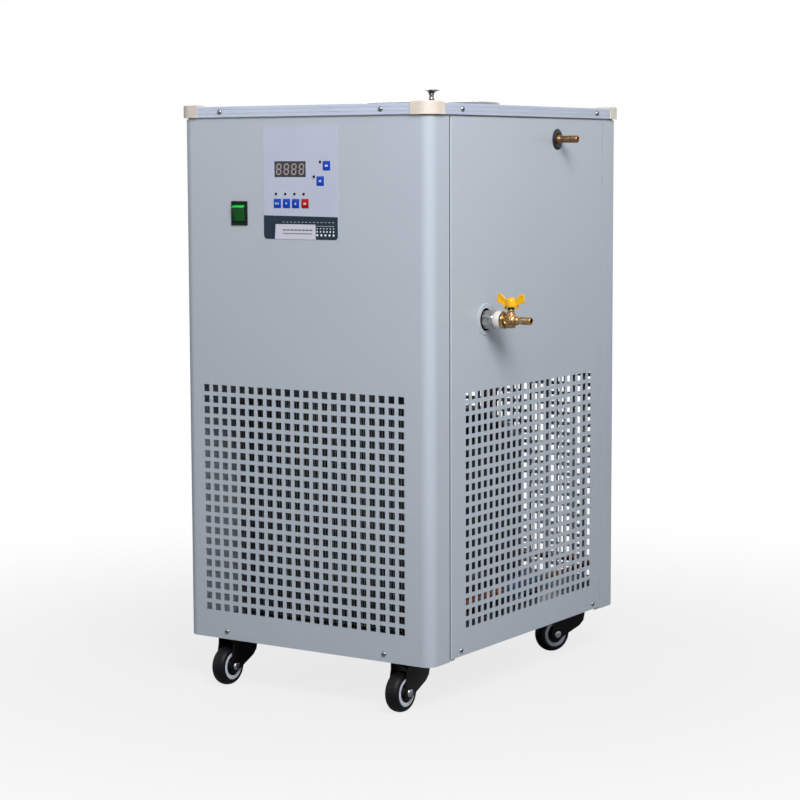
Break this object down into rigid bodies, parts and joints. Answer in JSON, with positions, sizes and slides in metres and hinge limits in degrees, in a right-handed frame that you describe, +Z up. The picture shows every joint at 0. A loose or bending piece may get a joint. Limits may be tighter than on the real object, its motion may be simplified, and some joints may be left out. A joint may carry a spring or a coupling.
{
  "type": "recirculating chiller",
  "caption": "Floor-standing recirculating chiller: perforated steel cabinet on swivel castors, lidded coolant tank, side outlet valve and return, front control panel.",
  "frame": {"origin": "on the floor, under the middle of the cabinet", "axes": "+Z up, the front with the controls faces -Y, the coolant connections face +X"},
  "size_m": [0.4394, 0.4985, 0.7605],
  "materials": {
    "cabinet_paint": "satin powder coat, pale blue grey",
    "tray_paint": "satin powder coat",
    "galvanised_steel": "galvanised sheet",
    "trim_aluminium": "anodised extrusion, fine lengthwise grooves",
    "cap_plastic": "moulded plastic, cream",
    "screw_steel": "nickel plated",
    "tank_steel": "polished stainless steel",
    "jacket_foam": "closed-cell foam",
    "copper": "drawn copper tube",
    "compressor_paint": "black enamel",
    "fin_aluminium": "plain fins",
    "fan_aluminium": "pressed sheet",
    "motor_paint": "black enamel",
    "shroud_steel": "grey enamel",
    "drier_paint": "blue enamel",
    "pump_paint": "grey enamel",
    "hose_rubber": "plain hose",
    "coupling_steel": "turned stainless steel",
    "ring_plastic": "moulded plastic, pale grey",
    "tape_white": "wound sealing tape",
    "brass": "turned and cast brass",
    "stem_steel": "turned steel",
    "handle_yellow": "yellow paint on a cast handle",
    "grommet_rubber": "moulded rubber",
    "switch_black": "moulded nylon",
    "switch_green": "translucent green",
    "overlay_film": "printed polyester film",
    "display_black": "smoked lens",
    "key_blue": "printed cap, blue",
    "key_red": "printed cap, red",
    "board_laminate": "glass laminate",
    "gland_nylon": "moulded nylon",
    "castor_steel": "black enamel, pressed steel",
    "wheel_rubber": "rubber tread, moulded centre"
  },
  "bodies": {
    "cabinet": {"base_plate": "galvanised_steel", "cabinet_screws": "screw_steel", "cable_gland": "gland_nylon", "castor_plates": "castor_steel", "circulation_pump": "pump_paint", "compressor": "compressor_paint", "condenser_bends": "copper", "condenser_core": "fin_aluminium", "control_board": "board_laminate", "control_overlay": "overlay_film", "corner_caps": "cap_plastic", "discharge_pipe": "copper", "display_module": "display_black", "evaporator_coil": "copper", "expansion_pipe": "copper", "fan_motor": "motor_paint", "fan_shroud": "shroud_steel", "filter_drier": "drier_paint", "front_cover": "cabinet_paint", "front_rear_trims": "trim_aluminium", "insulation_jacket": "jacket_foam", "left_side_panel": "cabinet_paint", "lid_knob": "tank_steel", "liquid_pipe": "copper", "middle_shelf": "galvanised_steel", "outlet_coupling": "coupling_steel", "outlet_hose": "hose_rubber", "outlet_ring": "ring_plastic", "pump_inlet_hose": "hose_rubber", "rear_cover": "cabinet_paint", "return_grommet": "grommet_rubber", "return_hose": "hose_rubber", "return_tail": "brass", "right_side_panel": "cabinet_paint", "side_trims": "trim_aluminium", "suction_pipe": "copper", "switch_frame": "switch_black", "tank": "tank_steel", "tank_lid": "tank_steel", "thread_tape": "tape_white", "top_plate": "tray_paint", "valve_body": "brass"},
    "front_left_castor": {"front_left_fork": "castor_steel"},
    "front_left_roller": {"front_left_wheel": "wheel_rubber"},
    "front_right_castor": {"front_right_fork": "castor_steel"},
    "front_right_roller": {"front_right_wheel": "wheel_rubber"},
    "rear_left_castor": {"rear_left_fork": "castor_steel"},
    "rear_left_roller": {"rear_left_wheel": "wheel_rubber"},
    "rear_right_castor": {"rear_right_fork": "castor_steel"},
    "rear_right_roller": {"rear_right_wheel": "wheel_rubber"},
    "fan": {"fan_blades": "fan_aluminium"},
    "valve_lever": {"valve_stem": "stem_steel", "valve_handle": "handle_yellow"},
    "rocker": {"switch_rocker": "switch_green"},
    "mode_button": {"mode_key": "key_blue"},
    "down_button": {"down_key": "key_blue"},
    "up_button": {"up_key": "key_blue"},
    "stop_button": {"stop_key": "key_red"},
    "cooling_button": {"cooling_key": "key_blue"},
    "pump_button": {"pump_key": "key_blue"}
  },
  "joints": [
    {"name": "front_left_swivel", "type": "hinge", "parent": "cabinet", "child": "front_left_castor", "pos_m": [-0.1325, -0.1945, 0.07], "axis": [0, 0, 1], "continuous": true},
    {"name": "front_left_roll", "type": "hinge", "parent": "front_left_castor", "child": "front_left_roller", "pos_m": [-0.1325, -0.22, 0.025], "axis": [1, 0, 0], "continuous": true},
    {"name": "front_right_swivel", "type": "hinge", "parent": "cabinet", "child": "front_right_castor", "pos_m": [0.1325, -0.1945, 0.07], "axis": [0, 0, 1], "continuous": true},
    {"name": "front_right_roll", "type": "hinge", "parent": "front_right_castor", "child": "front_right_roller", "pos_m": [0.1325, -0.22, 0.025], "axis": [1, 0, 0], "continuous": true},
    {"name": "rear_left_swivel", "type": "hinge", "parent": "cabinet", "child": "rear_left_castor", "pos_m": [-0.1325, 0.1945, 0.07], "axis": [0, 0, 1], "continuous": true},
    {"name": "rear_left_roll", "type": "hinge", "parent": "rear_left_castor", "child": "rear_left_roller", "pos_m": [-0.1378, 0.16956, 0.025], "axis": [0.9781, -0.2079, 0], "continuous": true},
    {"name": "rear_right_swivel", "type": "hinge", "parent": "cabinet", "child": "rear_right_castor", "pos_m": [0.1325, 0.1945, 0.07], "axis": [0, 0, 1], "continuous": true},
    {"name": "rear_right_roll", "type": "hinge", "parent": "rear_right_castor", "child": "rear_right_roller", "pos_m": [0.12172, 0.17139, 0.025], "axis": [0.9063, -0.4226, 0], "continuous": true},
    {"name": "fan_spin", "type": "hinge", "parent": "cabinet", "child": "fan", "pos_m": [-0.0075, -0.0885, 0.22], "axis": [0, 1, 0], "continuous": true},
    {"name": "valve_turn", "type": "hinge", "parent": "cabinet", "child": "valve_lever", "pos_m": [0.221, -0.1085, 0.473], "axis": [0, 0, 1], "range_deg": [-90, 0]},
    {"name": "switch_rock", "type": "hinge", "parent": "cabinet", "child": "rocker", "pos_m": [-0.0958, -0.2303, 0.6023], "axis": [1, 0, 0], "range_deg": [-30, 0]},
    {"name": "mode_press", "type": "slide", "parent": "cabinet", "child": "mode_button", "axis": [0, 1, 0], "range_m": [0, 0.0005], "stiffness_N_per_m": 300},
    {"name": "down_press", "type": "slide", "parent": "cabinet", "child": "down_button", "axis": [0, 1, 0], "range_m": [0, 0.0005], "stiffness_N_per_m": 300},
    {"name": "up_press", "type": "slide", "parent": "cabinet", "child": "up_button", "axis": [0, 1, 0], "range_m": [0, 0.0005], "stiffness_N_per_m": 300},
    {"name": "stop_press", "type": "slide", "parent": "cabinet", "child": "stop_button", "axis": [0, 1, 0], "range_m": [0, 0.0005], "stiffness_N_per_m": 300},
    {"name": "cooling_press", "type": "slide", "parent": "cabinet", "child": "cooling_button", "axis": [0, 1, 0], "range_m": [0, 0.0005], "stiffness_N_per_m": 300},
    {"name": "pump_press", "type": "slide", "parent": "cabinet", "child": "pump_button", "axis": [0, 1, 0], "range_m": [0, 0.0005], "stiffness_N_per_m": 300}
  ]
}
